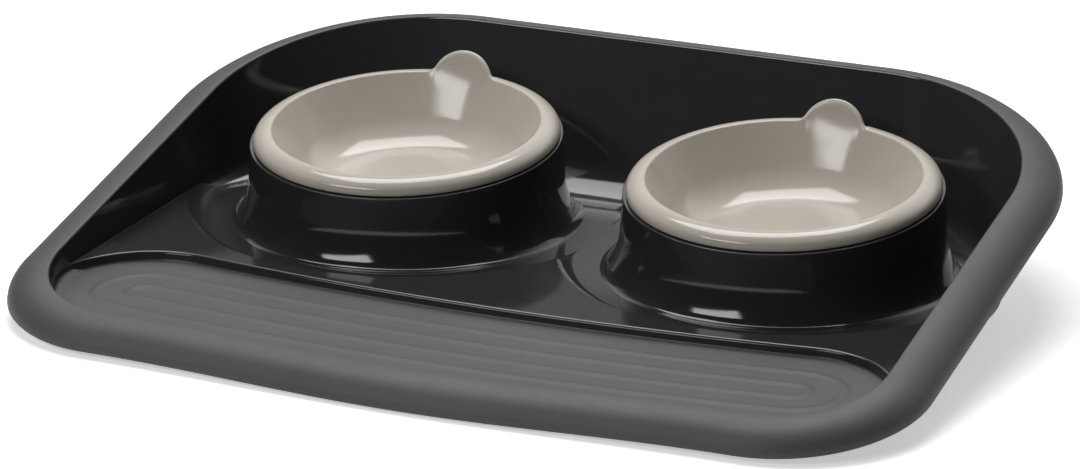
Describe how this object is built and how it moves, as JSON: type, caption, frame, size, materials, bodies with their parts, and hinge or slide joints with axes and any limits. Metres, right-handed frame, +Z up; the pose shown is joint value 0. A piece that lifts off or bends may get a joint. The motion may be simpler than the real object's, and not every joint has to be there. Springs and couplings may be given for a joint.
{
  "type": "double pet bowl",
  "caption": "Splash-guard feeding tray with a sloping rolled rim, two raised pedestals, a ribbed spill channel in front and lift-out bowls with finger tabs, on rubber feet",
  "frame": {"origin": "on the ground, under the middle of the tray's overall box", "axes": "+X to the right along the row of bowls, +Y from the low front edge to the high back, +Z up"},
  "size_m": [0.395, 0.305, 0.0696],
  "materials": {
    "tray": "dark grey moulded plastic, satin-gloss",
    "bowls": "warm grey moulded plastic, glossy",
    "feet": "soft black rubber, matt"
  },
  "bodies": {
    "tray_body": {"tray": "tray", "front_left_foot": "feet", "front_right_foot": "feet", "rear_left_foot": "feet", "rear_right_foot": "feet"},
    "left_bowl_body": {"left_bowl": "bowls"},
    "right_bowl_body": {"right_bowl": "bowls"}
  },
  "joints": [
    {"name": "left_bowl_lift", "type": "slide", "parent": "tray_body", "child": "left_bowl_body", "axis": [0, -0.0941, 0.9956], "range_m": [0, 0.08]},
    {"name": "right_bowl_lift", "type": "slide", "parent": "tray_body", "child": "right_bowl_body", "axis": [0, -0.0941, 0.9956], "range_m": [0, 0.08]}
  ]
}
